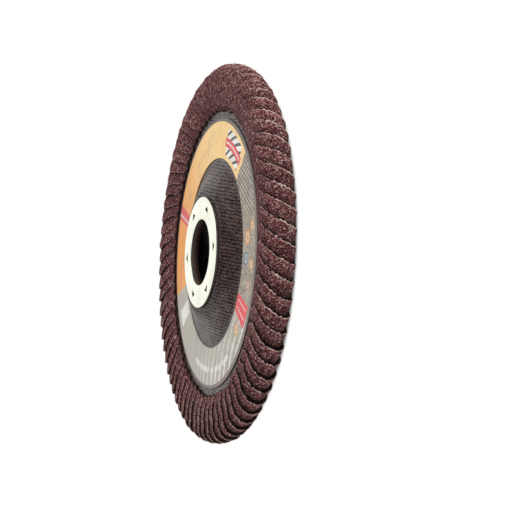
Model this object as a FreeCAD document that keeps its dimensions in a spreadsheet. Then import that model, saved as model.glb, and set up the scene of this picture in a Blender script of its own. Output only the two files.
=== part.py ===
import FreeCAD, Part
import math
import os
import Sketcher
from FreeCAD import Placement, Rotation, Vector

# Flap disc with a half-round edge, lying on its working face.
# Z is the bore axis. Z = 0 is the working face and the printed side looks up.
# All lengths are in millimetres and all angles in degrees.

SIZES = (
    # The flap ring, and the stack of layers that it wraps
    ("disc_radius", 63.5),
    ("ring_height", 11.6),
    ("flap_count", 72),
    ("flap_thickness", 1.0),
    ("pressed_thickness", 0.45),
    ("flap_gap", 0.12),
    ("pack_depth", 3.65),
    ("seat_gap", 0.05),
    ("label_end_radius", 47.6),
    ("label_end_rise", 1.0),
    ("working_end_radius", 41.0),
    ("first_flap_angle", 3.5),
    ("label_side_lag", 5.9),
    ("edge_lag", 6.9),
    ("edge_lag_turn", 150.0),
    ("working_end_lag", 4.0),
    ("peak_rounding", 0.4),
    # Adhesive under the flaps, on both faces of the plate
    ("bed_thickness", 0.4),
    ("bed_inner_radius", 42.0),
    ("film_thickness", 0.1),
    ("film_inner_radius", 48.0),
    # Glass-cloth backing plate with its raised hub
    ("plate_thickness", 3.6),
    ("plate_edge_gap", 0.8),
    ("plate_edge_round", 1.6),
    ("hub_rise", 4.3),
    ("hub_web", 2.1),
    ("hub_top_radius", 21.0),
    ("hub_base_radius", 30.7),
    ("hub_top_round", 4.0),
    ("hub_base_round", 3.0),
    ("hub_slope_run", 9.0),
    ("bore_radius", 11.115),
    # Steel centre ring and its pressed prongs
    ("centre_ring_radius", 18.57),
    ("centre_ring_thickness", 0.7),
    ("prong_count", 6),
    ("prong_circle_radius", 14.1),
    ("prong_start_angle", 7.5),
    ("prong_width", 3.6),
    ("prong_length", 1.9),
    ("prong_sheet", 0.5),
    ("prong_clearance", 0.1),
    # Paper label
    ("label_inner_radius", 31.9),
    ("label_outer_radius", 45.5),
    ("label_thickness", 0.3),
)

# Heights of the stack, each worked out from the layers below it
BED_BOTTOM = "(Sheet.pack_depth + Sheet.seat_gap)"
PLATE_BOTTOM = "(" + BED_BOTTOM + " + Sheet.bed_thickness)"
PLATE_TOP = "(" + PLATE_BOTTOM + " + Sheet.plate_thickness)"
HUB_TOP = "(" + PLATE_TOP + " + Sheet.hub_rise)"
HUB_UNDERSIDE = "(" + HUB_TOP + " - Sheet.hub_web)"

# Radii that follow from the flap ring and the hub
PLATE_RADIUS = "(Sheet.disc_radius - Sheet.pack_depth - Sheet.plate_edge_gap)"
ROUND_CENTRE_RADIUS = "(Sheet.disc_radius - Sheet.ring_height / 2)"
BED_OUTER_RADIUS = "(" + PLATE_RADIUS + " - Sheet.plate_edge_round)"

# The plate's rim is covered by the flaps, so its rounds are ground as flats through their middle
ROUND_MIDDLE_STEP = "(Sheet.plate_edge_round * (1 - cos(45deg)))"
ROUND_MIDDLE_RADIUS = "(" + PLATE_RADIUS + " - " + ROUND_MIDDLE_STEP + ")"

HUB_UNDER_FOOT = "(Sheet.hub_base_radius - Sheet.hub_web / 2)"
HUB_UNDER_TOP = "(" + HUB_UNDER_FOOT + " - Sheet.hub_slope_run)"

ROUND_STEPS = 6
FLAP_COLUMNS = 2
MAX_FLAP_NODES = 54
TURN = 360.0

doc = FreeCAD.newDocument("flap_disc")


def fill_sheet():
    """Put the driving sizes in the spreadsheet and return it."""
    sheet = doc.addObject("Spreadsheet::Sheet", "Sheet")
    for row, (alias, value) in enumerate(SIZES, start=1):
        sheet.set("A%d" % row, alias.replace("_", " "))
        sheet.set("B%d" % row, str(value))
        sheet.setAlias("B%d" % row, alias)
    doc.recompute()
    return sheet


sheet = fill_sheet()


def size(alias):
    """A driving size, as the sheet holds it."""
    return float(sheet.get(alias))


def value(expression):
    """The number that an expression of driving sizes gives."""
    return float(sheet.evalExpression(expression))


def new_body(label):
    body = doc.addObject("PartDesign::Body", label)
    body.Label = label
    return body


def new_sketch(body, name, role):
    """A sketch on one of the body's own origin planes."""
    plane = next(item for item in body.Origin.OriginFeatures if item.Role == role)
    sketch = body.newObject("Sketcher::SketchObject", name)
    sketch.AttachmentSupport = [(plane, "")]
    sketch.MapMode = "FlatFace"
    return sketch


def bind(sketch, index, name, expression):
    """Name a sketch dimension and tie it to the sheet."""
    sketch.renameConstraint(index, name)
    sketch.setExpression("Constraints." + name, expression)


def add_circle(sketch, name, radius):
    """A circle about the sketch origin, with its radius tied to the sheet."""
    circle = Part.Circle(Vector(0, 0, 0), Vector(0, 0, 1), value(radius))
    index = sketch.addGeometry(circle)
    sketch.addConstraint(Sketcher.Constraint("Coincident", index, 3, -1, 1))
    dimension = sketch.addConstraint(Sketcher.Constraint("Radius", index, value(radius)))
    bind(sketch, dimension, name, radius)


def place_corner(sketch, line, name, across, up):
    """Tie the start of a line to its distances from the sketch origin."""
    for kind, expression in (("DistanceX", across), ("DistanceY", up)):
        dimension = sketch.addConstraint(
            Sketcher.Constraint(kind, -1, 1, line, 1, value(expression)))
        bind(sketch, dimension, name + kind[-1], expression)


def add_outline(sketch, corners):
    """A closed outline through named corners, each tied to the sheet."""
    points = [Vector(value(across), value(up), 0) for _, across, up in corners]
    count = len(points)
    lines = []
    for index in range(count):
        segment = Part.LineSegment(points[index], points[(index + 1) % count])
        lines.append(sketch.addGeometry(segment))
    for index in range(count):
        following = lines[(index + 1) % count]
        sketch.addConstraint(Sketcher.Constraint("Coincident", lines[index], 2, following, 1))
    for line, (name, across, up) in zip(lines, corners):
        place_corner(sketch, line, name, across, up)


def circle_edges(shape, radius, height):
    """Names of the circular edges about the axis with this radius and height."""
    names = []
    for number, edge in enumerate(shape.Edges, start=1):
        curve = edge.Curve
        if not isinstance(curve, Part.Circle):
            continue
        if abs(curve.Radius - radius) < 1e-4 and abs(curve.Center.z - height) < 1e-4:
            names.append("Edge%d" % number)
    return names


def add_fillet(body, name, radius, circles):
    """Round the named circular edges of the body's last feature."""
    doc.recompute()
    base = body.Tip
    names = []
    for circle_radius, height in circles:
        names += circle_edges(base.Shape, value(circle_radius), value(height))
    fillet = body.newObject("PartDesign::Fillet", name)
    fillet.Base = (base, names)
    fillet.Radius = value(radius)
    fillet.setExpression("Radius", radius)
    doc.recompute()
    return fillet


def add_pad(body, sketch, name, length):
    pad = body.newObject("PartDesign::Pad", name)
    pad.Profile = sketch
    pad.setExpression("Length", length)
    sketch.Visibility = False
    doc.recompute()
    return pad


def add_pocket(body, sketch, name, length):
    """Cut a sketch into the body along its plane's normal, downwards."""
    before = body.Tip.Shape.Volume
    pocket = body.newObject("PartDesign::Pocket", name)
    pocket.Profile = sketch
    pocket.setExpression("Length", length)
    doc.recompute()
    if pocket.Shape.Volume > before - 1e-6:
        raise ValueError("the pocket " + name + " cuts nothing")
    return pocket


def repeat_round(body, feature, name, count):
    """Repeat a feature about the bore axis, evenly over the full turn."""
    axis = next(item for item in body.Origin.OriginFeatures if item.Role == "Z_Axis")
    pattern = body.newObject("PartDesign::PolarPattern", name)
    pattern.Originals = [feature]
    pattern.Axis = (axis, [""])
    pattern.Angle = TURN
    pattern.Occurrences = int(value(count))
    pattern.setExpression("Occurrences", count)
    body.Tip = pattern
    doc.recompute()
    return pattern


def annulus(label, inner, outer, thickness, height):
    """A flat ring that lies at a height of the stack."""
    body = new_body(label)
    sketch = new_sketch(body, label + "_outline", "XY_Plane")
    add_circle(sketch, "inner", inner)
    add_circle(sketch, "outer", outer)
    add_pad(body, sketch, label + "_sheet", thickness)
    body.setExpression(".Placement.Base.z", height)
    return body


# Glass-cloth backing plate

def backing_plate():
    """One pressed plate: flat flange, sloped wall and raised hub, with the bore."""
    body = new_body("backing_plate")
    sketch = new_sketch(body, "plate_section", "XZ_Plane")
    hub_top = "Sheet.hub_top_radius"
    hub_base = "Sheet.hub_base_radius"
    add_outline(sketch, (
        ("bore_low", "Sheet.bore_radius", HUB_UNDERSIDE),
        ("web_low", HUB_UNDER_TOP, HUB_UNDERSIDE),
        ("foot_low", HUB_UNDER_FOOT, PLATE_BOTTOM),
        ("face_low", BED_OUTER_RADIUS, PLATE_BOTTOM),
        ("round_low", ROUND_MIDDLE_RADIUS, "(%s + %s)" % (PLATE_BOTTOM, ROUND_MIDDLE_STEP)),
        ("rim_low", PLATE_RADIUS, "(%s + Sheet.plate_edge_round)" % PLATE_BOTTOM),
        ("rim_high", PLATE_RADIUS, "(%s - Sheet.plate_edge_round)" % PLATE_TOP),
        ("round_high", ROUND_MIDDLE_RADIUS, "(%s - %s)" % (PLATE_TOP, ROUND_MIDDLE_STEP)),
        ("face_high", BED_OUTER_RADIUS, PLATE_TOP),
        ("foot_high", hub_base, PLATE_TOP),
        ("web_high", hub_top, HUB_TOP),
        ("bore_high", "Sheet.bore_radius", HUB_TOP),
    ))
    turned = body.newObject("PartDesign::Revolution", "plate_turned")
    turned.Profile = sketch
    turned.ReferenceAxis = (sketch, ["V_Axis"])
    turned.Angle = TURN
    sketch.Visibility = False
    add_fillet(body, "hub_base_round", "Sheet.hub_base_round",
               ((hub_base, PLATE_TOP), (HUB_UNDER_TOP, HUB_UNDERSIDE)))
    add_fillet(body, "hub_top_round", "Sheet.hub_top_round",
               ((hub_top, HUB_TOP), (HUB_UNDER_FOOT, PLATE_BOTTOM)))
    slot = add_pocket(body, prong_slot(body), "prong_slot",
                      "Sheet.prong_length + Sheet.prong_clearance")
    repeat_round(body, slot, "prong_slots", "Sheet.prong_count")
    return body


def prong_slot(body):
    """The slot that one prong of the centre ring presses into the hub."""
    sketch = new_sketch(body, "prong_slot_outline", "XY_Plane")
    sketch.AttachmentOffset = Placement(Vector(0, 0, 0), Rotation(Vector(0, 0, 1), 1.0))
    sketch.setExpression("AttachmentOffset.Base.z", HUB_TOP)
    sketch.setExpression("AttachmentOffset.Rotation.Angle", "Sheet.prong_start_angle * 1deg")
    inner = "(Sheet.prong_circle_radius - Sheet.prong_clearance)"
    outer = "(Sheet.prong_circle_radius + Sheet.prong_sheet + Sheet.prong_clearance)"
    half = "(Sheet.prong_width / 2 + Sheet.prong_clearance)"
    add_outline(sketch, (
        ("inner_left", inner, "-" + half),
        ("outer_left", outer, "-" + half),
        ("outer_right", outer, half),
        ("inner_right", inner, half),
    ))
    return sketch


# Steel centre ring

def prong_tooth(body):
    """The pointed tongue of one pierced triangle, bent square to the sheet."""
    sketch = new_sketch(body, "prong_outline", "YZ_Plane")
    sketch.setExpression("AttachmentOffset.Base.z", "Sheet.prong_circle_radius")
    add_outline(sketch, (
        ("left", "-Sheet.prong_width / 2", "Sheet.centre_ring_thickness / 2"),
        ("left_low", "-Sheet.prong_width / 2", "0"),
        ("point", "0", "-Sheet.prong_length"),
        ("right_low", "Sheet.prong_width / 2", "0"),
        ("right", "Sheet.prong_width / 2", "Sheet.centre_ring_thickness / 2"),
    ))
    return add_pad(body, sketch, "prong", "Sheet.prong_sheet")


def centre_ring():
    """A pressed steel washer with prongs bent down out of pierced triangles."""
    body = new_body("centre_ring")
    face = new_sketch(body, "ring_outline", "XY_Plane")
    add_circle(face, "bore", "Sheet.bore_radius")
    add_circle(face, "rim", "Sheet.centre_ring_radius")
    add_pad(body, face, "ring_sheet", "Sheet.centre_ring_thickness")
    pierced = new_sketch(body, "pierced_triangle", "XY_Plane")
    root = "(Sheet.prong_circle_radius + Sheet.prong_sheet)"
    add_outline(pierced, (
        ("left", root, "-Sheet.prong_width / 2"),
        ("tip", "(%s + Sheet.prong_length)" % root, "0"),
        ("right", root, "Sheet.prong_width / 2"),
    ))
    pocket = body.newObject("PartDesign::Pocket", "pierced_hole")
    pocket.Profile = pierced
    pocket.Type = "ThroughAll"
    pocket.Midplane = True
    doc.recompute()
    repeat_round(body, pocket, "pierced_holes", "Sheet.prong_count")
    repeat_round(body, prong_tooth(body), "prongs", "Sheet.prong_count")
    body.Placement = Placement(Vector(0, 0, 0), Rotation(Vector(0, 0, 1), 1.0))
    body.setExpression(".Placement.Rotation.Angle", "Sheet.prong_start_angle * 1deg")
    body.setExpression(".Placement.Base.z", HUB_TOP)
    return body


# Abrasive-cloth flaps, wrapped over the half-round edge

def lag_behind_crown(angle):
    """How far the free edge lags the crown, with the peak of its arch rounded."""
    rounding = size("peak_rounding")
    return math.hypot(angle, rounding) - rounding


def share_of_edge_lag(turned):
    """The lag grows as a quarter sine until the edge has turned far enough, then stays."""
    full_turn = math.radians(size("edge_lag_turn"))
    return math.sin(math.pi / 2 * min(1.0, turned / full_turn))


def label_side_stations():
    """Stations of the ramp, from the glued end to the crown."""
    crown_radius = value(ROUND_CENTRE_RADIUS)
    run = crown_radius - size("label_end_radius")
    crown_rise = size("ring_height") - value(PLATE_TOP)
    cover = size("film_thickness") + size("seat_gap")
    stations = []
    for share in (0.0, 0.5):
        rise = (size("label_end_rise")
                + (crown_rise - size("label_end_rise")) * math.sin(math.pi / 2 * share))
        thickness = (size("pressed_thickness")
                     + (size("flap_thickness") - size("pressed_thickness")) * share)
        stations.append({
            "radius": size("label_end_radius") + run * share,
            "height": value(PLATE_TOP) + rise,
            "outward": (0.0, 1.0),
            "depth": rise - cover,
            "thickness": thickness,
            "lag": lag_behind_crown(size("label_side_lag") * (1 - share)),
        })
    return stations


def round_stations():
    """Stations of the half-round edge, from the crown over the rim to the working face."""
    round_radius = size("ring_height") / 2
    crown_depth = (size("ring_height") - value(PLATE_TOP)
                   - size("film_thickness") - size("seat_gap"))
    stations = []
    for step in range(ROUND_STEPS + 1):
        turned = math.pi * step / ROUND_STEPS
        share = min(1.0, 2.0 * step / ROUND_STEPS)
        outward = (math.sin(turned), math.cos(turned))
        stations.append({
            "radius": value(ROUND_CENTRE_RADIUS) + round_radius * outward[0],
            "height": round_radius * (1 + outward[1]),
            "outward": outward,
            "depth": crown_depth + (size("pack_depth") - crown_depth) * share,
            "thickness": size("flap_thickness"),
            "lag": lag_behind_crown(size("edge_lag") * share_of_edge_lag(turned)),
        })
    return stations


def working_end_station():
    """The cut end of the flap on the working face."""
    return {
        "radius": size("working_end_radius"),
        "height": 0.0,
        "outward": (0.0, -1.0),
        "depth": size("pack_depth"),
        "thickness": size("flap_thickness"),
        "lag": lag_behind_crown(size("working_end_lag")),
    }


def station_point(station, angle, depth):
    """The point under a station of the outer surface, at an angle about the axis."""
    radius = station["radius"] - depth * station["outward"][0]
    height = station["height"] - depth * station["outward"][1]
    turned = math.radians(angle)
    return Vector(radius * math.cos(turned), radius * math.sin(turned), height)


def flap_columns(station, pitch):
    """Top and bottom points across the flap, from the free edge to the buried root."""
    thickness = station["thickness"]
    drop = station["depth"] - thickness
    sweep = pitch * drop / (thickness + size("flap_gap"))
    top = []
    bottom = []
    for column in range(FLAP_COLUMNS + 1):
        share = column / FLAP_COLUMNS
        angle = -station["lag"] - sweep * share
        top.append(station_point(station, angle, drop * share))
        bottom.append(station_point(station, angle, drop * share + thickness))
    return top, bottom


def split_quad(corners):
    """Two flat triangles for a four-sided facet, along its shorter diagonal."""
    first, second, third, fourth = corners
    if first.distanceToPoint(third) <= second.distanceToPoint(fourth):
        return [(first, second, third), (first, third, fourth)]
    return [(first, second, fourth), (second, third, fourth)]


def flap_solid():
    """One flap: a sheet that leans from its root to its free edge and wraps the rim."""
    pitch = TURN / int(size("flap_count"))
    stations = label_side_stations() + round_stations() + [working_end_station()]
    rows = [flap_columns(station, pitch) for station in stations]
    facets = []
    for (top, bottom), (next_top, next_bottom) in zip(rows, rows[1:]):
        for column in range(FLAP_COLUMNS):
            side = column + 1
            facets += split_quad((top[column], next_top[column], next_top[side], top[side]))
            facets += split_quad((bottom[column], bottom[side], next_bottom[side],
                                  next_bottom[column]))
        facets += split_quad((top[0], bottom[0], next_bottom[0], next_top[0]))
        facets += split_quad((top[-1], next_top[-1], next_bottom[-1], bottom[-1]))
    for top, bottom in (rows[0], rows[-1]):
        for column in range(FLAP_COLUMNS):
            side = column + 1
            facets += split_quad((top[column], top[side], bottom[side], bottom[column]))
    faces = [Part.Face(Part.makePolygon(list(facet) + [facet[0]])) for facet in facets]
    solid = Part.Solid(Part.Shell(faces))
    if solid.Volume < 0:
        solid.reverse()
    return solid


def flap_groups():
    """The flaps round the ring, in neighbouring groups that share a node."""
    start = size("first_flap_angle")
    flap_count = int(size("flap_count"))
    pitch = TURN / flap_count
    group_size = math.ceil(flap_count / MAX_FLAP_NODES)
    flap = flap_solid()
    group_names = {1: "flap", 2: "flap_pair"}
    stem = group_names.get(group_size, "flap_group")
    groups = []
    for number, first in enumerate(range(0, flap_count, group_size), start=1):
        members = []
        for offset in range(min(group_size, flap_count - first)):
            member = flap.copy()
            member.rotate(Vector(0, 0, 0), Vector(0, 0, 1), offset * pitch)
            members.append(member)
        group = doc.addObject("Part::Feature", "%s_%02d" % (stem, number))
        group.Label = "%s_%02d" % (stem, number)
        group.Shape = Part.makeCompound(members)
        turn = Rotation(Vector(0, 0, 1), start + first * pitch)
        group.Placement = Placement(Vector(0, 0, 0), turn)
        groups.append(group)
    return groups


def check_objects(parts):
    """Stop unless every object computed and every part is a valid shape."""
    for item in doc.Objects:
        if "Invalid" in item.State or "Error" in item.State:
            raise ValueError("the object " + item.Label + " failed")
    for part in parts:
        if part.Shape.isNull() or not part.Shape.isValid():
            raise ValueError("the shape of " + part.Label + " is not valid")


def main():
    plate = backing_plate()
    ring = centre_ring()
    label = annulus("label", "Sheet.label_inner_radius", "Sheet.label_outer_radius",
                    "Sheet.label_thickness", PLATE_TOP)
    bed = annulus("adhesive_bed", "Sheet.bed_inner_radius", BED_OUTER_RADIUS,
                  "Sheet.bed_thickness", BED_BOTTOM)
    film = annulus("adhesive_film", "Sheet.film_inner_radius", BED_OUTER_RADIUS,
                   "Sheet.film_thickness", PLATE_TOP)
    parts = [plate, ring, label, bed, film] + flap_groups()
    doc.recompute()
    check_objects(parts)
    os.makedirs("parts", exist_ok=True)
    for part in parts:
        part.Shape.exportStep("parts/" + part.Label + ".step")
    print(len(parts), "parts written")


main()
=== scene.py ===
import math

import bpy
import numpy as np
from mathutils import Matrix, Vector
from mathutils.geometry import tessellate_polygon


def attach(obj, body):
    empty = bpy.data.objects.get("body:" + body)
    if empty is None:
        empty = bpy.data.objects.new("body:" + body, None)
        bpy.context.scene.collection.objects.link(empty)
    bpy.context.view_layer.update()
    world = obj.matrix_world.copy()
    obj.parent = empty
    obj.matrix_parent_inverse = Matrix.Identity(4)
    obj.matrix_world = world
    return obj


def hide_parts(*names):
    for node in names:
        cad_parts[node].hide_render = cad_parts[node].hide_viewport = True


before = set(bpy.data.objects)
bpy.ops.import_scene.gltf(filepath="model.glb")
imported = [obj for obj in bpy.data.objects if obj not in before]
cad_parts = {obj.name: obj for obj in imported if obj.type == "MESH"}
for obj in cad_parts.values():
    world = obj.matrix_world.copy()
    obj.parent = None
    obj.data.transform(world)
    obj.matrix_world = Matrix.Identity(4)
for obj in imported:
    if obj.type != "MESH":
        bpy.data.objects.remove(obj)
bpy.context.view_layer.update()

# Looks of a flap disc that lies on its working face, printed side up.
# Lengths are in millimetres here and are turned to metres where a mesh is made.

MM = 0.001

# The camera, fitted to the circles of the disc
IMAGE_SIZE = 512
FOCAL_PIXELS = 1350.0
SENSOR_WIDTH = 36.0
AXIS_AZIMUTH = math.radians(71.30)
AXIS_ELEVATION = math.radians(2.83)
CENTRE_PIXEL = (-43.68, -3.11)
CENTRE_DEPTH = 453.5
CENTRE_HEIGHT = 8.3

# The studio, in metres and watts: each panel's name, place, size and power
WORLD_STRENGTH = 0.34
PANELS = (("key", (0.34, 0.80, 0.45), 0.45, 8.0),
          ("fill", (0.86, -0.52, 0.26), 0.45, 3.3),
          ("low", (-0.87, -0.04, 0.29), 0.85, 1.4))
PANEL_AIM = (0.0, 0.0, 0.008)
FLOOR_HALF = 30.0

# Where the floor turns from shaded under the disc to white for the camera
FLOOR_SHADED_RADIUS = 57.0
FLOOR_WHITE_RADIUS = 60.7

# The flap ring, as in the part's own sizes
DISC_RADIUS = 63.5
RING_HEIGHT = 11.6
FLAP_COUNT = 72
FLAP_THICKNESS = 1.0
PRESSED_THICKNESS = 0.45
FLAP_GAP = 0.12
PACK_DEPTH = 3.65
FILM_COVER = 0.15
LABEL_END_RADIUS = 47.6
LABEL_END_RISE = 1.0
WORKING_END_RADIUS = 41.0
FIRST_FLAP_ANGLE = 3.5
LABEL_SIDE_LAG = 5.9
EDGE_LAG = 6.9
EDGE_LAG_TURN = 150.0
WORKING_END_LAG = 4.0
PEAK_ROUNDING = 0.4
PLATE_TOP = 7.7
HUB_TOP = 12.0

# The steel ring
BORE_RADIUS = 11.115
RING_RADIUS = 18.57
RING_THICKNESS = 0.7
RING_EDGE = 0.1
PRONG_COUNT = 6
PRONG_CIRCLE = 14.1
PRONG_START = 7.5
PRONG_WIDTH = 3.6
PRONG_LENGTH = 1.9
PRONG_SHEET = 0.5

# The glass cloth and the cut layers in the bore
THREAD_PITCH = 1.12
THREAD_SPAN = 1.7
THREAD_TURN = math.radians(7.0)
LAYER_PITCH = 0.5

# The label's print: radii and pitches, and how soft its outlines are
LABEL_PRINT_RADIUS = 44.3
LABEL_PRINT_OFFSET = -0.9
LABEL_LINE_PITCH = 4.2
LABEL_ARC_CENTRE = (67.0, -52.0)
LABEL_RADIUS = 45.5
MESH_PITCH_ACROSS = 3.1
MESH_PITCH_UP = 1.8
PRINT_SOFT = 0.12
PRINT_TURN_SOFT = 0.35
PALE_FROM, PALE_TO = -160.0, 47.0
DASHES_PER_DEGREE = 0.42

# Mesh steps of a flap
RAMP_ROWS = 30
ROUND_ROWS = 48
WORKING_ROWS = 26
FINE_COLUMNS = 16
COVERED_COLUMNS = 2
EDGE_STEPS = 2
SHOWN_ANGLE = 5.7

# The cloth of a flap: heights, reaches and spreads of its small unevenness
GRAIN_SPREAD = 0.065
WAVE_HEIGHT, WAVE_ROWS, WAVE_REACH = 0.05, 14, 2.5
EDGE_LIFT, EDGE_LIFT_SPREAD, EDGE_LIFT_REACH = 0.07, 0.04, 0.8
PRESSED_EDGE, PRESSED_REACH = 0.40, 1.3
WORKING_SIDE_SHARE = 0.25
RAGGED_GRAIN, RAGGED_WANDER, RAGGED_ROWS, RAGGED_REACH = 0.17, 0.10, 5, 0.35
TORN_CHANCE, TORN_DEPTH = 0.09, 0.40
END_NOTCH, NOTCH_WIDTH, NOTCH_REACH = 1.35, 1.8, 1.1
END_SPREAD, END_REACH = 0.25, 0.8
EDGE_SPREAD = 0.05
TURN_SPREAD = 0.16

# The flap's looks: how wide its worn edge with its painted highlight is and how far the painted
# shade reaches
WEAR_HIGHLIGHT_WIDTH, LEAST_WEAR_HIGHLIGHT = 0.23, 0.30
SHADE_REACH = 2.8
END_SHADE, END_SHADE_REACH = 0.9, 0.6
EDGE_SHADE = 0.75
RANDOM_SEED = 20


def linear(red, green, blue):
    """A colour given on the 0 to 255 display scale, as Blender's linear colour."""
    channels = []
    for channel in (red, green, blue):
        share = channel / 255.0
        if share <= 0.04045:
            channels.append(share / 12.92)
        else:
            channels.append(((share + 0.055) / 1.055) ** 2.4)
    return (channels[0], channels[1], channels[2], 1.0)


class Nodes:
    """Short calls that build a material's node tree."""

    def __init__(self, name):
        self.material = bpy.data.materials.new(name)
        self.material.use_nodes = True
        self.tree = self.material.node_tree
        self.tree.nodes.clear()
        self.output = self.tree.nodes.new("ShaderNodeOutputMaterial")

    def node(self, kind, **settings):
        made = self.tree.nodes.new(kind)
        for key, setting in settings.items():
            setattr(made, key, setting)
        return made

    def feed(self, socket, source):
        if hasattr(source, "is_output"):
            self.tree.links.new(source, socket)
        else:
            socket.default_value = source

    def math(self, operation, first, second=None):
        made = self.node("ShaderNodeMath", operation=operation)
        for socket, source in zip(made.inputs, (first, second)):
            if source is not None:
                self.feed(socket, source)
        return made.outputs[0]

    def add(self, first, second):
        return self.math("ADD", first, second)

    def subtract(self, first, second):
        return self.math("SUBTRACT", first, second)

    def times(self, first, second):
        return self.math("MULTIPLY", first, second)

    def length(self, east, north):
        return self.math("SQRT", self.add(self.times(east, east), self.times(north, north)))

    def step(self, source, low, high):
        """A smooth rise from 0 at low to 1 at high."""
        made = self.node("ShaderNodeMapRange", interpolation_type="SMOOTHSTEP")
        self.feed(made.inputs["Value"], source)
        made.inputs["From Min"].default_value = low
        made.inputs["From Max"].default_value = high
        return made.outputs[0]

    def span(self, source, low, high, soft):
        """1 between low and high, with soft ends."""
        rise = self.step(source, low - soft, low + soft)
        fall = self.step(source, high - soft, high + soft)
        return self.times(rise, self.subtract(1.0, fall))

    def both(self, *masks):
        result = masks[0]
        for mask in masks[1:]:
            result = self.times(result, mask)
        return result

    def mix(self, factor, first, second):
        made = self.node("ShaderNodeMix", data_type="RGBA")
        self.feed(made.inputs["Factor"], factor)
        self.feed(made.inputs[6], first)
        self.feed(made.inputs[7], second)
        return made.outputs[2]

    def ramp(self, source, *stops):
        made = self.node("ShaderNodeValToRGB")
        elements = made.color_ramp.elements
        while len(elements) < len(stops):
            elements.new(0.5)
        for element, (position, colour) in zip(elements, stops):
            element.position = position
            element.color = colour
        self.feed(made.inputs[0], source)
        return made.outputs[0]

    def place(self):
        """Coordinates in millimetres, fixed to the object."""
        coordinates = self.node("ShaderNodeTexCoord").outputs["Object"]
        scaled = self.node("ShaderNodeVectorMath", operation="SCALE")
        self.feed(scaled.inputs[0], coordinates)
        scaled.inputs["Scale"].default_value = 1.0 / MM
        return scaled.outputs[0]

    def axes(self, vector):
        made = self.node("ShaderNodeSeparateXYZ")
        self.feed(made.inputs[0], vector)
        return made.outputs

    def attribute(self, name):
        return self.node("ShaderNodeAttribute", attribute_name=name).outputs["Fac"]

    def noise(self, vector, scale, detail=3.0, roughness=0.55):
        made = self.node("ShaderNodeTexNoise")
        self.feed(made.inputs["Vector"], vector)
        made.inputs["Scale"].default_value = scale
        made.inputs["Detail"].default_value = detail
        made.inputs["Roughness"].default_value = roughness
        return made.outputs[0]

    def bump(self, height, distance, strength):
        made = self.node("ShaderNodeBump")
        self.feed(made.inputs["Height"], height)
        made.inputs["Distance"].default_value = distance * MM
        made.inputs["Strength"].default_value = strength
        return made.outputs[0]

    def finish(self, colour, roughness, normal, **more):
        """The shader, with any of its other inputs named with underlines for spaces."""
        shader = self.node("ShaderNodeBsdfPrincipled")
        self.feed(shader.inputs["Base Color"], colour)
        self.feed(shader.inputs["Roughness"], roughness)
        self.feed(shader.inputs["Normal"], normal)
        for key, setting in more.items():
            self.feed(shader.inputs[key.replace("_", " ")], setting)
        self.tree.links.new(shader.outputs[0], self.output.inputs["Surface"])
        return self.material


# Materials

def grit_material():
    """Maroon-brown grains, with dusty worn tips along the flap's edges that also carry a painted
    highlight, and painted shade in the troughs.
    """
    n = Nodes("abrasive_grit")
    place = n.place()
    grains = n.node("ShaderNodeTexVoronoi", feature="F1")
    n.feed(grains.inputs["Vector"], place)
    grains.inputs["Scale"].default_value = 2.3
    chance = n.node("ShaderNodeSeparateColor")
    n.feed(chance.inputs[0], grains.outputs["Color"])
    colour = n.ramp(chance.outputs[0],
                    (0.0, linear(8, 1, 4)),
                    (0.22, linear(107, 59, 62)),
                    (0.70, linear(174, 109, 109)),
                    (0.90, linear(238, 184, 178)),
                    (1.0, linear(255, 236, 226)))
    patches = n.noise(place, 0.16)
    colour = n.mix(n.times(n.step(patches, 0.35, 0.7), 0.3), colour, linear(102, 56, 54))
    pits = n.noise(place, 2.1, 2.0, 0.8)
    colour = n.mix(n.times(n.step(pits, 0.48, 0.38), 0.95), colour, linear(14, 3, 6))
    colour = n.mix(n.times(n.step(pits, 0.60, 0.68), 0.6), colour, linear(214, 160, 154))
    film = n.attribute("film")
    colour = n.mix(n.times(film, 0.3), colour, linear(112, 68, 67))
    tone = n.attribute("tone")
    colour = n.mix(n.times(tone, 0.3), colour, linear(56, 28, 30))
    # Painted shade in the trough under each neighbour's free edge and at the glued ends, less
    # where the film fills the trough
    shade = n.attribute("shade")
    filled = n.subtract(1.0, n.times(film, 0.36))
    colour = n.mix(n.times(shade, filled), colour, linear(8, 2, 4))
    # Pale worn edge, partly a painted highlight where the cut edge catches the light
    wear_and_highlight = n.attribute("wear_and_highlight")
    broken = n.step(n.noise(place, 0.9, 4.0, 0.7), 0.40, 0.60)
    colour = n.mix(n.times(wear_and_highlight, n.add(n.times(broken, 0.4), 0.6)), colour,
                   linear(255, 226, 214))
    relief = n.subtract(1.0, grains.outputs["Distance"])
    fine = n.noise(place, 5.0, 2.0)
    height = n.add(n.add(relief, n.times(fine, 0.5)), n.times(pits, 0.4))
    normal = n.bump(height, 0.38, 1.0)
    roughness = n.add(0.55, n.times(chance.outputs[1], 0.35))
    return n.finish(colour, roughness, normal, Specular_IOR_Level=0.07)


def cloth_edge_material():
    """The cut edge and the back of the cloth under the grains."""
    n = Nodes("cloth_edge")
    place = n.place()
    threads = n.noise(place, 2.4, 4.0, 0.65)
    colour = n.ramp(threads,
                    (0.3, linear(96, 62, 58)),
                    (0.52, linear(176, 134, 126)),
                    (0.75, linear(232, 192, 182)))
    # Painted shade: the cut face darkens below its top corner, and the back of the cloth is dark
    # throughout
    shade = n.attribute("shade")
    colour = n.mix(n.step(shade, 0.0, 0.75), colour, linear(22, 10, 10))
    normal = n.bump(threads, 0.15, 0.8)
    return n.finish(colour, 0.85, normal, Specular_IOR_Level=0.2)


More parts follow.
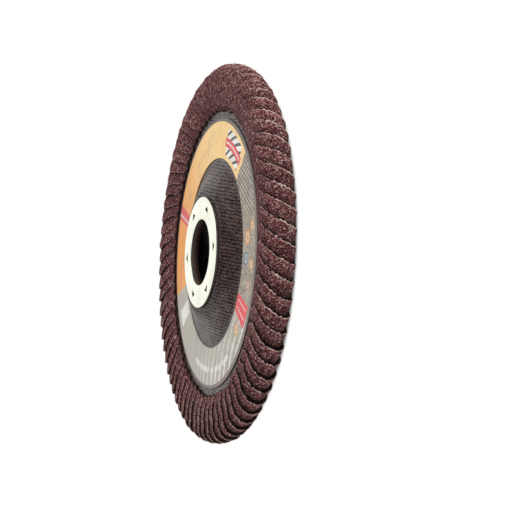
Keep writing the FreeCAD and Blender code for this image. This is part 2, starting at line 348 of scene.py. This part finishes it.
def hub_material():
    """Pressed glass cloth in dark resin: a plain weave with a slight sheen."""
    n = Nodes("glass_cloth_resin")
    place = n.place()
    turned = n.node("ShaderNodeVectorRotate", rotation_type="Z_AXIS")
    n.feed(turned.inputs["Vector"], place)
    turned.inputs["Angle"].default_value = THREAD_TURN
    along, over, _ = n.axes(turned.outputs[0])
    wander = n.times(n.noise(place, 0.45, 3.0), 1.5)
    rows = n.times(n.add(over, wander), 1.0 / THREAD_PITCH)
    every_other = n.times(n.math("FLOOR", rows), 0.5)
    columns = n.add(n.times(n.add(along, wander), 1.0 / THREAD_SPAN), every_other)
    row = n.math("SINE", n.times(n.math("FRACT", rows), math.pi))
    column = n.math("SINE", n.times(n.math("FRACT", columns), math.pi))
    uneven = n.step(n.noise(place, 0.8, 5.0, 0.85), 0.30, 0.70)
    tops = n.times(n.step(row, 0.10, 0.66), n.add(n.times(n.step(column, 0.0, 0.55), 0.55), 0.45))
    resin = n.times(n.step(n.noise(place, 0.5, 3.0), 0.46, 0.66), 0.5)
    threads = n.math("MAXIMUM", n.times(tops, n.add(n.times(uneven, 0.65), 0.35)), resin)
    cloudy = n.noise(place, 0.09, 4.0)
    flecks = n.noise(place, 2.4, 4.0, 0.75)
    # Thread tops pale and gaps near black: partly the cloth and resin, partly painted shade
    # between the threads
    colour = n.ramp(threads,
                    (0.05, linear(5, 1, 1)),
                    (0.35, linear(28, 11, 9)),
                    (0.65, linear(36, 21, 19)),
                    (0.95, linear(74, 53, 48)))
    colour = n.mix(n.times(n.step(cloudy, 0.4, 0.65), 0.35), colour, linear(16, 8, 7))
    colour = n.mix(n.times(n.step(flecks, 0.66, 0.72), 0.8), colour, linear(160, 134, 124))

    # The bore wall shows the cut layers of the laminate
    across, up, height = n.axes(place)
    radius = n.length(across, up)
    wall = n.subtract(1.0, n.step(radius, BORE_RADIUS + 0.05, BORE_RADIUS + 0.15))
    layers = n.math("SINE", n.times(height, 2.0 * math.pi / LAYER_PITCH))
    cut = n.mix(n.step(layers, -0.6, 0.6), linear(60, 46, 42), linear(88, 70, 62))
    # Painted shade: the bore wall turns darker deeper down
    cut = n.mix(n.step(height, HUB_TOP - 0.4, HUB_TOP - 1.7), cut, linear(34, 22, 20))
    colour = n.mix(wall, colour, cut)
    normal = n.bump(n.add(threads, n.times(flecks, 0.4)), 0.06, 0.8)

    # Thread tops shine, gaps and the dusty zone beside the ring hardly do
    dusty = n.subtract(1.0, n.step(radius, RING_RADIUS + 1.5, RING_RADIUS + 5.5))
    patchy = n.step(n.noise(place, 0.22, 3.0), 0.35, 0.65)
    gloss = n.times(n.subtract(1.0, n.times(dusty, 0.8)),
                    n.add(n.times(n.step(threads, 0.12, 0.7), 0.95), 0.05))
    gloss = n.times(gloss, n.add(n.times(patchy, 0.5), 0.5))
    roughness = n.add(0.27, n.times(flecks, 0.2))
    return n.finish(colour, roughness, normal, Specular_IOR_Level=n.times(gloss, 0.56),
                    Specular_Tint=linear(255, 222, 206))


def steel_material():
    """Satin plated sheet steel with a fine turned grain."""
    n = Nodes("ring_steel")
    place = n.place()
    scratches = n.noise(place, 2.2, 5.0, 0.7)
    stains = n.noise(place, 0.12, 3.0)
    colour = n.ramp(stains, (0.35, linear(222, 223, 208)), (0.7, linear(210, 211, 196)))
    roughness = n.add(0.34, n.times(scratches, 0.16))
    normal = n.bump(scratches, 0.02, 0.5)
    return n.finish(colour, roughness, normal, Metallic=0.75)


def cut_steel_material():
    """The sheared edges of the sheet, without plating, dulled by dust and darkened with painted
    shade.
    """
    n = Nodes("ring_steel_cut")
    place = n.place()
    streaks = n.noise(place, 3.0, 4.0, 0.7)
    colour = n.ramp(streaks, (0.3, linear(38, 33, 31)), (0.7, linear(96, 88, 82)))
    normal = n.bump(streaks, 0.05, 0.8)
    return n.finish(colour, 0.7, normal, Metallic=0.3, Specular_IOR_Level=0.2)


def adhesive_material():
    """Cured resin that squeezes out a little under the flaps."""
    n = Nodes("cured_resin")
    place = n.place()
    cloudy = n.noise(place, 0.5, 4.0)
    colour = n.ramp(cloudy, (0.3, linear(44, 32, 26)), (0.75, linear(78, 58, 44)))
    normal = n.bump(cloudy, 0.1, 0.5)
    return n.finish(colour, 0.4, normal)


def pale_ground(n, place, across, up, radius):
    """The pale ground with fine arcs, which run along the label on its right side."""
    reach = n.length(n.subtract(across, LABEL_ARC_CENTRE[0]),
                     n.subtract(up, LABEL_ARC_CENTRE[1]))
    bent = n.add(reach, n.times(n.noise(place, 0.3, 2.0), 1.4))
    lines = n.math("SINE", n.times(bent, 2.0 * math.pi / LABEL_LINE_PITCH))
    strength = n.times(n.add(0.4, n.times(n.step(radius, 34.0, 41.0), 0.6)),
                       n.add(0.12, n.times(n.step(across, -18.0, 10.0), 0.88)))
    pale = n.mix(n.times(n.step(lines, 0.45, 0.95), strength),
                 linear(187, 182, 170), linear(246, 244, 236))
    streaks = n.step(n.noise(place, 0.8, 4.0, 0.7), 0.52, 0.62)
    rough_side = n.times(n.step(across, 8.0, 24.0), streaks)
    return n.mix(n.times(rough_side, 0.6), pale, linear(132, 126, 116))


def grey_ground(n, place, across, up, angle, worn):
    """The grey ground of the right side: a net above, rubbed and speckled below."""
    mesh_x = n.times(across, 2.0 * math.pi / MESH_PITCH_ACROSS)
    mesh_y = n.times(up, 2.0 * math.pi / MESH_PITCH_UP)
    mesh = n.math("ABSOLUTE", n.times(n.math("SINE", n.times(n.add(mesh_x, mesh_y), 0.5)),
                                      n.math("SINE", n.times(n.subtract(mesh_x, mesh_y), 0.5))))
    mesh_shown = n.add(n.times(n.step(angle, 8.0, 30.0), 0.7), 0.3)
    grey = n.mix(n.times(n.step(n.add(mesh, n.times(worn, 0.4)), 0.35, 0.7), mesh_shown),
                 linear(196, 186, 168), linear(96, 88, 79))
    grey = n.mix(n.times(n.step(worn, 0.42, 0.62), n.subtract(1.0, mesh_shown)), grey,
                 linear(132, 122, 110))
    specks = n.noise(place, 1.3, 5.0, 0.8)
    grey = n.mix(n.times(n.step(specks, 0.53, 0.64), 0.75), grey, linear(222, 214, 200))
    grey = n.mix(n.times(n.step(specks, 0.47, 0.36), 0.75), grey, linear(88, 80, 74))
    stained = n.times(n.step(n.noise(place, 0.28, 3.0), 0.45, 0.62), 0.4)
    return n.mix(stained, grey, linear(108, 98, 90))


def label_material():
    """A generic print: a warm half, a pale hatched half and plain marks between."""
    n = Nodes("label_paper")
    place = n.place()
    across, up, _ = n.axes(place)
    radius = n.length(across, up)
    angle = n.times(n.math("ARCTAN2", up, across), 180.0 / math.pi)
    worn = n.noise(place, 0.9, 4.0, 0.7)

    def turns(low, high):
        return n.span(angle, low, high, PRINT_TURN_SOFT)

    def radii(inner, outer):
        return n.span(radius, inner, outer, PRINT_SOFT)

    pale = pale_ground(n, place, across, up, radius)
    grey = grey_ground(n, place, across, up, angle, worn)
    colour = n.mix(n.span(angle, -27.0, 60.0, 8.0), pale, grey)

    # The warm ground, paler at the top, with a smudged row of ticks
    turned_either_way = n.math("ABSOLUTE", angle)
    warm = n.mix(n.step(turned_either_way, 100.0, 180.0), linear(255, 214, 144),
                 linear(246, 162, 78))
    warm_arc = n.math("MAXIMUM", n.step(angle, PALE_TO - 0.4, PALE_TO + 0.4),
                      n.subtract(1.0, n.step(angle, PALE_FROM - 0.4, PALE_FROM + 0.4)))
    colour = n.mix(warm_arc, colour, warm)
    ticks = n.span(n.math("FRACT", n.times(n.add(angle, n.times(radius, 0.6)), 0.24)),
                   0.30, 0.62, 0.12)
    tick_row = n.both(warm_arc, n.span(radius, 36.6, 38.8, 0.3), n.span(angle, 104.0, 128.0, 0.6))
    smudged = n.step(n.noise(place, 0.6, 4.0, 0.7), 0.35, 0.6)
    colour = n.mix(n.times(n.times(n.both(tick_row, ticks), smudged), 0.55), colour,
                   linear(124, 96, 82))

    # A white field of slanted dark bars with a red arc through it
    field = n.both(turns(52.0, 75.0), radii(33.4, 42.4))
    colour = n.mix(field, colour, linear(246, 244, 238))
    slant = n.math("SINE", n.add(n.times(angle, 0.85), n.times(radius, 1.9)))
    colour = n.mix(n.both(field, n.step(slant, 0.2, 0.5)), colour, linear(58, 62, 58))
    arc = n.both(turns(50.0, 77.0), radii(36.3, 39.3))
    colour = n.mix(arc, colour, linear(224, 70, 76))
    arc_line = n.both(turns(51.5, 75.5), radii(37.5, 38.1))
    colour = n.mix(arc_line, colour, linear(250, 232, 226))

    # A plain red bar on the near side with two white lines
    bar = n.both(turns(-34.0, -23.0), radii(32.0, 42.8))
    colour = n.mix(bar, colour, linear(238, 84, 92))
    for line_angle in (-31.0, -26.5):
        line = n.both(n.span(angle, line_angle, line_angle + 0.9, 0.25), radii(33.4, 41.6))
        colour = n.mix(n.times(line, 0.75), colour, linear(250, 226, 214))

    # Plain round marks on the near side: angle, radius, half width and colour
    orange = (224, 158, 78)
    marks = ((7.5, 36.4, 2.6, orange), (12.0, 41.0, 1.9, orange), (-5.0, 40.8, 1.9, orange),
             (-14.5, 39.6, 1.6, (200, 120, 108)), (-40.0, 37.6, 2.2, orange),
             (-3.0, 35.6, 2.3, (78, 116, 150)))
    rubbed = n.add(n.times(n.step(worn, 0.4, 0.55), 0.4), 0.55)
    for mark_angle, mark_radius, half, tint in marks:
        turned = math.radians(mark_angle)
        reach = n.length(n.subtract(across, mark_radius * math.cos(turned)),
                         n.subtract(up, mark_radius * math.sin(turned)))
        disc = n.subtract(1.0, n.step(reach, half - 0.4, half + 0.2))
        colour = n.mix(n.times(disc, rubbed), colour, linear(*tint))
        hole = n.span(reach, half * 0.36, half * 0.62, 0.25)
        colour = n.mix(n.times(hole, 0.75), colour, linear(236, 228, 212))

    # Short white bars of uneven length along an arc below
    dash_count = n.times(angle, DASHES_PER_DEGREE)
    chance = n.node("ShaderNodeTexWhiteNoise", noise_dimensions="1D")
    n.feed(chance.inputs["W"], n.math("FLOOR", dash_count))
    shown = n.step(chance.outputs["Value"], 0.24, 0.26)
    within = n.span(n.math("FRACT", dash_count), 0.12, 0.86, 0.05)
    dash = n.both(shown, within, radii(38.4, 40.2), turns(-112.0, -46.0))
    colour = n.mix(n.times(dash, 0.8), colour, linear(250, 250, 244))

    # A white block, and a thin red mark in the warm half
    block = n.both(turns(-150.0, -141.0), radii(33.0, 42.2))
    colour = n.mix(block, colour, linear(244, 243, 236))
    notch = n.both(turns(157.0, 164.0), radii(32.0, 46.0))
    colour = n.mix(notch, colour, linear(232, 84, 92))
    notch_line = n.both(notch, turns(161.0, 162.4))
    colour = n.mix(n.times(notch_line, 0.7), colour, linear(250, 226, 220))

    # The plain border, wider on the near side because the print isn't centred
    print_reach = n.length(n.subtract(across, LABEL_PRINT_OFFSET), up)
    border = n.step(print_reach, LABEL_PRINT_RADIUS - PRINT_SOFT, LABEL_PRINT_RADIUS + PRINT_SOFT)
    fibres = n.noise(place, 1.4, 4.0, 0.6)
    edge_grey = n.mix(fibres, linear(108, 99, 94), linear(148, 137, 129))
    # Painted shade: the border is darker towards the top
    edge_grey = n.mix(n.times(n.step(up, 4.0, 40.0), 0.5), edge_grey, linear(66, 58, 56))
    colour = n.mix(border, colour, edge_grey)
    # Painted shade: a thin dark line just inside the label's outer edge
    label_edge_shade = n.times(n.step(radius, LABEL_RADIUS - 0.5, LABEL_RADIUS - 0.2), 0.8)
    colour = n.mix(label_edge_shade, colour, linear(42, 34, 33))
    cloudy = n.noise(place, 0.16, 4.0, 0.65)
    colour = n.mix(n.times(n.step(cloudy, 0.42, 0.75), 0.3), colour, linear(164, 138, 112))
    normal = n.bump(fibres, 0.03, 0.5)
    roughness = n.add(0.42, n.times(fibres, 0.14))
    return n.finish(colour, roughness, normal, Specular_IOR_Level=0.19)


def floor_material():
    """A pale floor that stays white to the camera away from the disc."""
    n = Nodes("floor_pale")
    place = n.place()
    across, up, _ = n.axes(place)
    away = n.step(n.length(across, up), FLOOR_SHADED_RADIUS, FLOOR_WHITE_RADIUS)
    diffuse = n.node("ShaderNodeBsdfDiffuse")
    diffuse.inputs["Color"].default_value = linear(246, 246, 243)
    white = n.node("ShaderNodeEmission")
    white.inputs["Color"].default_value = (1.0, 1.0, 0.995, 1.0)
    path = n.node("ShaderNodeLightPath")
    seen = n.math("MAXIMUM", path.outputs["Is Camera Ray"],
                  n.math("MAXIMUM", path.outputs["Is Glossy Ray"],
                         path.outputs["Is Transmission Ray"]))
    blend = n.node("ShaderNodeMixShader")
    n.feed(blend.inputs[0], n.times(seen, away))
    n.feed(blend.inputs[1], diffuse.outputs[0])
    n.feed(blend.inputs[2], white.outputs[0])
    n.tree.links.new(blend.outputs[0], n.output.inputs["Surface"])
    return n.material


# Flaps

def lag_behind_crown(angle):
    """How far the free edge lags the crown, with the peak of its arch rounded."""
    return np.hypot(angle, PEAK_ROUNDING) - PEAK_ROUNDING


def section_rows():
    """The section from the glued end over the crown and rim to the working end."""
    rows = []
    crown_rise = RING_HEIGHT - PLATE_TOP
    crown_depth = crown_rise - FILM_COVER
    centre = DISC_RADIUS - RING_HEIGHT / 2.0
    for share in np.linspace(0.0, 1.0, RAMP_ROWS, endpoint=False):
        rise = LABEL_END_RISE + (crown_rise - LABEL_END_RISE) * math.sin(math.pi / 2 * share)
        thickness = PRESSED_THICKNESS + (FLAP_THICKNESS - PRESSED_THICKNESS) * share
        rows.append((LABEL_END_RADIUS + (centre - LABEL_END_RADIUS) * share, PLATE_TOP + rise,
                     0.0, 1.0, rise - FILM_COVER, thickness,
                     lag_behind_crown(LABEL_SIDE_LAG * (1.0 - share))))
    for turned in np.linspace(0.0, math.pi, ROUND_ROWS, endpoint=False):
        depth = crown_depth + (PACK_DEPTH - crown_depth) * min(1.0, turned / (math.pi / 2))
        lag_share = math.sin(math.pi / 2 * min(1.0, turned / math.radians(EDGE_LAG_TURN)))
        rows.append((centre + RING_HEIGHT / 2 * math.sin(turned),
                     RING_HEIGHT / 2 * (1 + math.cos(turned)),
                     math.sin(turned), math.cos(turned), depth, FLAP_THICKNESS,
                     lag_behind_crown(EDGE_LAG * lag_share)))
    for share in np.linspace(0.0, 1.0, WORKING_ROWS):
        rows.append((centre + (WORKING_END_RADIUS - centre) * share, 0.0, 0.0, -1.0,
                     PACK_DEPTH, FLAP_THICKNESS,
                     lag_behind_crown(EDGE_LAG + (WORKING_END_LAG - EDGE_LAG) * share)))
    return np.array(rows)


def smooth_random(random, count, reach):
    """A random line that wanders over about this many steps, of unit spread."""
    kernel = np.hanning(reach + 2)
    line = np.convolve(random.normal(size=count + reach + 2), kernel, mode="same")[:count]
    return line / np.sqrt((kernel ** 2).sum())


def pressed_share(count):
    """How much the free edge is pressed flat: fully on the printed side, not on the rim."""
    share = np.zeros(count)
    share[:RAMP_ROWS] = 1.0
    turned = np.linspace(0.0, math.pi, ROUND_ROWS, endpoint=False)
    share[RAMP_ROWS:RAMP_ROWS + ROUND_ROWS] = np.clip(1.25 - turned / math.radians(60), 0.0, 1.0)
    return share


def flap_points(rows, random):
    """A flap in cylinder coordinates, its top and its edge and under side, with its looks."""
    radius, height, out_r, out_z, depth, thickness, lag = rows.T
    count = len(rows)
    pitch = 360.0 / FLAP_COUNT
    drop = depth - thickness
    sweep = pitch * drop / (thickness + FLAP_GAP)
    shown = np.minimum(SHOWN_ANGLE / sweep, 0.96)
    fine = np.linspace(0.0, 1.0, FINE_COLUMNS + 1) ** 1.5
    covered = np.linspace(0.0, 1.0, COVERED_COLUMNS + 1)[1:]
    across = np.concatenate([shown[:, None] * fine[None, :],
                             shown[:, None] + (1 - shown)[:, None] * covered[None, :]], axis=1)
    angle = -lag[:, None] - sweep[:, None] * across
    sunk = drop[:, None] * across

    # The grains, a lazy waviness of the sheet, and a free edge that lifts a little
    from_edge = np.radians(sweep[:, None] * across) * radius[:, None]
    grain = random.normal(0.0, GRAIN_SPREAD, across.shape)
    wave = (WAVE_HEIGHT * smooth_random(random, count, WAVE_ROWS)[:, None]
            * np.exp(-from_edge / WAVE_REACH))
    lift = ((EDGE_LIFT + EDGE_LIFT_SPREAD * random.normal())
            * np.exp(-from_edge / EDGE_LIFT_REACH))
    film = pressed_share(count)[:, None]
    pressed = PRESSED_EDGE * film * np.exp(-from_edge / PRESSED_REACH)
    raised = grain + wave + lift - pressed
    raised[:, FINE_COLUMNS + 1:] = 0.0
    ends = np.ones(count)
    ends[-WORKING_ROWS:] = WORKING_SIDE_SHARE
    raised *= ends[:, None]

    # The cut edge is ragged, with a few grains broken out
    ragged = (RAGGED_GRAIN * random.normal(size=count)
              + RAGGED_WANDER * smooth_random(random, count, RAGGED_ROWS))
    torn = np.where(random.random(count) < TORN_CHANCE, -TORN_DEPTH, 0.0)
    fade = np.exp(-from_edge / RAGGED_REACH)
    angle = angle + np.degrees((ragged + torn)[:, None] / radius[:, None]) * fade

    depth_grid = sunk - raised
    top = np.stack([radius[:, None] - depth_grid * out_r[:, None], angle,
                    height[:, None] - depth_grid * out_z[:, None]], axis=2)
    # A pale worn edge that is partly a painted highlight, and painted shade in the trough under
    # the neighbouring flap's free edge
    wear_and_highlight = np.exp(-(from_edge / WEAR_HIGHLIGHT_WIDTH) ** 4) * np.clip(1.0 - film, LEAST_WEAR_HIGHLIGHT, 1.0)
    exposed = np.radians(pitch) * radius[:, None]
    shade = np.clip(np.exp((from_edge - exposed) / SHADE_REACH), 0.0, 1.0)

    # The glued end is cut askew, so the ends make a row of dark notches, and painted shade
    # darkens the ends further
    row_length = (DISC_RADIUS - RING_HEIGHT / 2 - LABEL_END_RADIUS) / RAMP_ROWS
    from_end = np.arange(count)[:, None] * row_length
    notch = (END_NOTCH * np.clip(1.0 - from_edge / NOTCH_WIDTH, 0.0, 1.0)
             * np.exp(-from_end / NOTCH_REACH))
    notch = notch + END_SPREAD * random.normal() * np.exp(-from_end / END_REACH)
    top[:, :, 0] += notch
    shade = np.maximum(shade, END_SHADE * np.exp(-from_end / END_SHADE_REACH))

    # The cut edge and the under side
    edge_layers = []
    for step in range(1, EDGE_STEPS + 1):
        share = step / EDGE_STEPS
        level = sunk[:, 0] + thickness * share - raised[:, 0] * (1 - share)
        jitter = np.degrees(EDGE_SPREAD * random.normal(size=count) / radius)
        if step == EDGE_STEPS:
            jitter[:] = 0.0
        edge_layers.append(np.stack([radius - level * out_r, angle[:, 0] + jitter,
                                     height - level * out_z], axis=1))
    under = []
    for column in (FINE_COLUMNS, FINE_COLUMNS + COVERED_COLUMNS):
        level = sunk[:, column] + thickness
        under.append(np.stack([radius - level * out_r, angle[:, column],
                               height - level * out_z], axis=1))
    for layer, column in zip(edge_layers + under, (0, 0, FINE_COLUMNS, top.shape[1] - 1)):
        layer[:, 0] += notch[:, column]
    film = np.broadcast_to(film, across.shape)
    return top, np.stack(edge_layers + under, axis=1), wear_and_highlight, shade, film


def grid_faces(row_count, columns, flip=False):
    """Quads between neighbouring columns of point numbers."""
    faces = []
    for left, right in zip(columns, columns[1:]):
        for row in range(row_count - 1):
            quad = (left[row], left[row + 1], right[row + 1], right[row])
            faces.append(quad[::-1] if flip else quad)
    return faces


def flap_geometry(rows, turn, random):
    """Points, faces, face materials, and edge wear with its painted highlight, painted shade and
    film of one flap.

    Film is how far the flap is pressed into the adhesive film on the printed side.
    """
    top, under, wear_and_highlight, shade, film = flap_points(rows, random)
    count, top_columns = top.shape[:2]
    cylinder = np.concatenate([top.reshape(-1, 3), under.reshape(-1, 3)])
    turned = np.radians(cylinder[:, 1] + turn)
    points = np.stack([cylinder[:, 0] * np.cos(turned), cylinder[:, 0] * np.sin(turned),
                       cylinder[:, 2]], axis=1)
    points[:, 2] = np.maximum(points[:, 2], 0.0)
    top_index = np.arange(count * top_columns).reshape(count, top_columns)
    under_columns = under.shape[1]
    under_index = (np.arange(count * under_columns).reshape(count, under_columns)
                   + count * top_columns)
    grit = grid_faces(count, [top_index[:, c] for c in range(top_columns)])
    ring = ([top_index[:, 0]] + [under_index[:, c] for c in range(under_columns)]
            + [top_index[:, -1]])
    cloth = grid_faces(count, ring, flip=True)
    for row, flip in ((0, False), (-1, True)):
        loop = list(top_index[row]) + list(under_index[row][::-1])
        cloth.append(loop[::-1] if flip else loop)
    faces = grit + cloth
    slots = [0] * len(grit) + [1] * len(cloth)
    unworn = np.zeros(under.shape[0] * under_columns)
    under_shade = np.ones(under.shape[:2])
    under_shade[:, 0] = EDGE_SHADE
    looks = {"wear_and_highlight": np.concatenate([wear_and_highlight.ravel(), unworn]),
             "shade": np.concatenate([shade.ravel(), under_shade.ravel()]),
             "film": np.concatenate([film.ravel(), unworn])}
    return points, faces, slots, looks


def flap_piece(number, rows, random, materials):
    """The two neighbouring flaps that one node holds."""
    pitch = 360.0 / FLAP_COUNT
    points, faces, slots = [], [], []
    looks = {"wear_and_highlight": [], "shade": [], "film": [], "tone": []}
    for member in range(2):
        turn = (FIRST_FLAP_ANGLE + (2 * number + member) * pitch
                + random.normal(0.0, TURN_SPREAD))
        own_points, own_faces, own_slots, own_looks = flap_geometry(rows, turn, random)
        offset = len(points)
        points += [tuple(point) for point in own_points * MM]
        faces += [tuple(int(index) + offset for index in face) for face in own_faces]
        slots += own_slots
        own_looks["tone"] = np.full(len(own_points), random.random())
        for key, values in own_looks.items():
            looks[key].append(values)
    name = "flaps_%02d" % (number + 1)
    mesh = bpy.data.meshes.new(name)
    mesh.from_pydata(points, [], faces)
    for material in materials:
        mesh.materials.append(material)
    mesh.polygons.foreach_set("material_index", slots)
    for key, values in looks.items():
        attribute = mesh.attributes.new(key, "FLOAT", "POINT")
        attribute.data.foreach_set("value", np.concatenate(values).astype(np.float32))
    mesh.update()
    piece = bpy.data.objects.new(name, mesh)
    bpy.context.scene.collection.objects.link(piece)
    return piece


# Steel ring

def circle_points(radius, count):
    turns = np.linspace(0.0, 2 * math.pi, count, endpoint=False)
    return [(radius * math.cos(turn), radius * math.sin(turn)) for turn in turns]


def pierced_triangle(number):
    """The corners of one pierced triangle, in the plane of the sheet."""
    root = PRONG_CIRCLE + PRONG_SHEET
    turn = math.radians(PRONG_START + 360.0 * number / PRONG_COUNT)
    corners = ((root, -PRONG_WIDTH / 2), (root + PRONG_LENGTH, 0.0), (root, PRONG_WIDTH / 2))
    return [(x * math.cos(turn) - y * math.sin(turn),
             x * math.sin(turn) + y * math.cos(turn)) for x, y in corners]


def rounded_wall(radius, inwards, count):
    """Rings of points up a round wall whose two edges are softened."""
    low, high = HUB_TOP, HUB_TOP + RING_THICKNESS
    rings = []
    for corner, first in ((low, -90), (high, 0)):
        centre = corner + RING_EDGE if corner == low else corner - RING_EDGE
        for degrees in range(first, first + 91, 30):
            turn = math.radians(degrees)
            reach = RING_EDGE * (1 - math.cos(turn))
            ring_radius = radius + reach if inwards else radius - reach
            rings.append([(x, y, centre + RING_EDGE * math.sin(turn))
                          for x, y in circle_points(ring_radius, count)])
    return rings


def steel_ring(materials):
    """The pressed washer with soft edges and its pierced triangles."""
    points, faces, slots = [], [], []
    low_loops, high_loops = [], []
    walls = [(rounded_wall(RING_RADIUS, False, 180), False),
             (rounded_wall(BORE_RADIUS, True, 120), True)]
    for number in range(PRONG_COUNT):
        corners = pierced_triangle(number)
        walls.append(([[(x, y, HUB_TOP) for x, y in corners],
                       [(x, y, HUB_TOP + RING_THICKNESS) for x, y in corners]], True))
    for rings, inwards in walls:
        numbers = []
        for ring in rings:
            numbers.append(list(range(len(points), len(points) + len(ring))))
            points += ring
        for level, (lower, upper) in enumerate(zip(numbers, numbers[1:])):
            sheared = len(rings) == 2 or level == len(rings) // 2 - 1
            for i in range(len(lower)):
                slots.append(1 if sheared else 0)
                j = (i + 1) % len(lower)
                quad = (lower[i], lower[j], upper[j], upper[i])
                faces.append(quad[::-1] if inwards else quad)
        low_loops.append(numbers[0])
        high_loops.append(numbers[-1])
    for loops, upwards in ((low_loops, False), (high_loops, True)):
        flat = [number for loop in loops for number in loop]
        outlines = [[Vector((points[n][0], points[n][1], 0.0)) for n in loop] for loop in loops]
        for triangle in tessellate_polygon(outlines):
            corners = [flat[index] for index in triangle]
            a, b, c = (Vector(points[n]) for n in corners)
            if ((b - a).cross(c - a).z > 0) != upwards:
                corners.reverse()
            faces.append(corners)
    mesh = bpy.data.meshes.new("steel_ring")
    mesh.from_pydata([tuple(value * MM for value in point) for point in points], [], faces)
    for material in materials:
        mesh.materials.append(material)
    mesh.polygons.foreach_set("material_index", slots + [0] * (len(faces) - len(slots)))
    mesh.polygons.foreach_set("use_smooth", [True] * len(mesh.polygons))
    mesh.set_sharp_from_angle(angle=math.radians(40))
    piece = bpy.data.objects.new("steel_ring", mesh)
    bpy.context.scene.collection.objects.link(piece)
    return piece


def steel_tongues(material):
    """The six pointed tongues, bent down into the hub."""
    points, faces = [], []
    for number in range(PRONG_COUNT):
        turn = math.radians(PRONG_START + 360.0 * number / PRONG_COUNT)
        start = len(points)
        for x in (PRONG_CIRCLE, PRONG_CIRCLE + PRONG_SHEET):
            for y, z in ((-PRONG_WIDTH / 2, HUB_TOP + RING_THICKNESS / 2),
                         (-PRONG_WIDTH / 2, HUB_TOP), (0.0, HUB_TOP - PRONG_LENGTH),
                         (PRONG_WIDTH / 2, HUB_TOP),
                         (PRONG_WIDTH / 2, HUB_TOP + RING_THICKNESS / 2)):
                points.append(((x * math.cos(turn) - y * math.sin(turn)) * MM,
                               (x * math.sin(turn) + y * math.cos(turn)) * MM, z * MM))
        faces.append([start + i for i in range(5)])
        faces.append([start + 5 + i for i in reversed(range(5))])
        for i in range(5):
            j = (i + 1) % 5
            faces.append([start + j, start + i, start + 5 + i, start + 5 + j])
    mesh = bpy.data.meshes.new("steel_tongues")
    mesh.from_pydata(points, [], faces)
    mesh.materials.append(material)
    piece = bpy.data.objects.new("steel_tongues", mesh)
    bpy.context.scene.collection.objects.link(piece)
    return piece


# Camera, light and floor

def place_camera():
    """A pinhole camera that sees the disc's axis as the fitted circles do."""
    azimuth, elevation = AXIS_AZIMUTH, AXIS_ELEVATION
    axis = Vector((-math.sin(azimuth) * math.cos(elevation), -math.sin(elevation),
                   -math.cos(azimuth) * math.cos(elevation)))
    up = Vector((0.0, -1.0, 0.0))
    up = (up - axis * up.dot(axis)).normalized()
    side = up.cross(axis)
    centre = Vector((CENTRE_PIXEL[0] / FOCAL_PIXELS, CENTRE_PIXEL[1] / FOCAL_PIXELS, 1.0))
    centre *= CENTRE_DEPTH
    location = Vector((-centre.dot(side), -centre.dot(up), CENTRE_HEIGHT - centre.dot(axis)))
    rotation = Matrix(((side.x, -side.y, -side.z), (up.x, -up.y, -up.z),
                       (axis.x, -axis.y, -axis.z)))
    data = bpy.data.cameras.new("camera")
    data.sensor_width = SENSOR_WIDTH
    data.lens = FOCAL_PIXELS / IMAGE_SIZE * SENSOR_WIDTH
    data.clip_start = 0.01
    data.clip_end = 50.0
    camera = bpy.data.objects.new("camera", data)
    camera.matrix_world = Matrix.Translation(location * MM) @ rotation.to_4x4()
    bpy.context.scene.collection.objects.link(camera)
    bpy.context.scene.camera = camera


def soft_light(name, position, size, watts):
    """A square panel of light that looks at the disc."""
    data = bpy.data.lights.new(name, "AREA")
    data.shape = "SQUARE"
    data.size = size
    data.energy = watts
    panel = bpy.data.objects.new(name, data)
    panel.location = position
    aim = Vector(PANEL_AIM) - Vector(position)
    panel.rotation_euler = aim.to_track_quat("-Z", "Y").to_euler()
    bpy.context.scene.collection.objects.link(panel)


def studio():
    """A pale world that the camera and reflections see as white, and three soft panels."""
    world = bpy.data.worlds.new("studio")
    world.use_nodes = True
    tree = world.node_tree
    background = tree.nodes["Background"]
    background.inputs["Color"].default_value = (1.0, 1.0, 1.0, 1.0)
    path = tree.nodes.new("ShaderNodeLightPath")
    seen = path.outputs["Is Camera Ray"]
    for ray in ("Is Glossy Ray", "Is Transmission Ray"):
        either = tree.nodes.new("ShaderNodeMath")
        either.operation = "MAXIMUM"
        tree.links.new(seen, either.inputs[0])
        tree.links.new(path.outputs[ray], either.inputs[1])
        seen = either.outputs[0]
    strength = tree.nodes.new("ShaderNodeMapRange")
    strength.inputs["To Min"].default_value = WORLD_STRENGTH
    tree.links.new(seen, strength.inputs["Value"])
    tree.links.new(strength.outputs[0], background.inputs["Strength"])
    bpy.context.scene.world = world
    for panel in PANELS:
        soft_light(*panel)
    bpy.context.scene.view_settings.view_transform = "Standard"


def lay_floor():
    mesh = bpy.data.meshes.new("floor")
    half = FLOOR_HALF
    mesh.from_pydata([(-half, -half, 0.0), (half, -half, 0.0), (half, half, 0.0),
                      (-half, half, 0.0)], [], [(0, 1, 2, 3)])
    mesh.materials.append(floor_material())
    floor = bpy.data.objects.new("floor", mesh)
    bpy.context.scene.collection.objects.link(floor)


def dress_node(name, material):
    """Give a carried-over node its material."""
    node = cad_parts[name]
    node.data.materials.clear()
    node.data.materials.append(material)


def main():
    place_camera()
    studio()
    lay_floor()
    dress_node("backing_plate", hub_material())
    dress_node("label", label_material())
    resin = adhesive_material()
    dress_node("adhesive_bed", resin)
    dress_node("adhesive_film", resin)

    cut_steel = cut_steel_material()
    ring = steel_ring((steel_material(), cut_steel))
    tongues = steel_tongues(cut_steel)
    for piece in (ring, tongues):
        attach(piece, "root")
        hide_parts("centre_ring")

    random = np.random.default_rng(RANDOM_SEED)
    rows = section_rows()
    materials = (grit_material(), cloth_edge_material())
    for number in range(FLAP_COUNT // 2):
        piece = flap_piece(number, rows, random, materials)
        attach(piece, "root")
        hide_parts("flap_pair_%02d" % (number + 1))


main()
